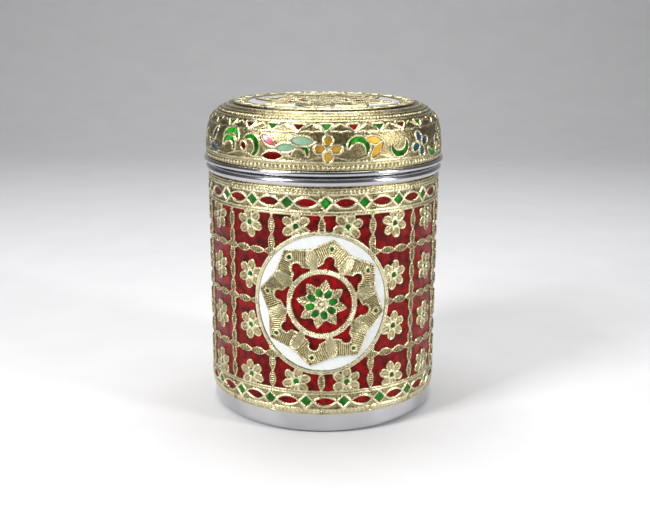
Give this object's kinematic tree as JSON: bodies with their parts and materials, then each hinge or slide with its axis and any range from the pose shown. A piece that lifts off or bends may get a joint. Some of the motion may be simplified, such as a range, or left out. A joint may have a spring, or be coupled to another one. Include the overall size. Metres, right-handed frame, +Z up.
{
  "type": "lidded canister",
  "caption": "Round steel canister with a slip-on lid, dressed in embossed gilt foil with enamel medallions, flowers, chains and borders.",
  "frame": {"origin": "centre of the canister's base, on the plane it stands on", "axes": "+Z up along the canister's axis, -Y towards the front medallion"},
  "size_m": [0.1046, 0.1046, 0.1329],
  "materials": {
    "steel": "polished stainless steel",
    "gilt_foil": "embossed pale gold foil with a clear lacquer",
    "red_enamel": "translucent glossy lacquer enamel over foil",
    "green_enamel": "translucent glossy lacquer enamel over foil",
    "white_enamel": "opaque glossy lacquer enamel",
    "blue_enamel": "translucent glossy lacquer enamel over foil",
    "yellow_enamel": "translucent glossy lacquer enamel over foil"
  },
  "bodies": {
    "canister": {"body_sleeve": "gilt_foil", "canister_shell": "steel", "field_chains": "gilt_foil", "field_enamel": "red_enamel", "field_flowers": "gilt_foil", "lower_lozenges": "green_enamel", "lower_ovals": "red_enamel", "medallion_buds": "green_enamel", "medallion_cusps": "red_enamel", "medallion_grounds": "white_enamel", "medallion_hubs": "red_enamel", "medallion_leaves": "gilt_foil", "medallion_lotuses": "gilt_foil", "medallion_rims": "gilt_foil", "upper_lozenges": "green_enamel", "upper_ovals": "red_enamel"},
    "lid": {"lid_blossoms_blue": "blue_enamel", "lid_blossoms_yellow": "yellow_enamel", "lid_collar": "gilt_foil", "lid_drops_green": "green_enamel", "lid_drops_red": "red_enamel", "lid_leaves_blue": "blue_enamel", "lid_leaves_orange": "yellow_enamel", "lid_leaves_red": "red_enamel", "lid_scrolls_green": "green_enamel", "lid_shell": "steel", "lid_top_border_green": "green_enamel", "lid_top_border_red": "red_enamel", "lid_top_disc": "gilt_foil", "lid_top_eye": "green_enamel", "lid_top_ground": "white_enamel", "lid_top_hub": "red_enamel"}
  },
  "joints": [
    {"name": "lid_lift", "type": "slide", "parent": "canister", "child": "lid", "axis": [0, 0, 1], "range_m": [0, 0.06]}
  ]
}
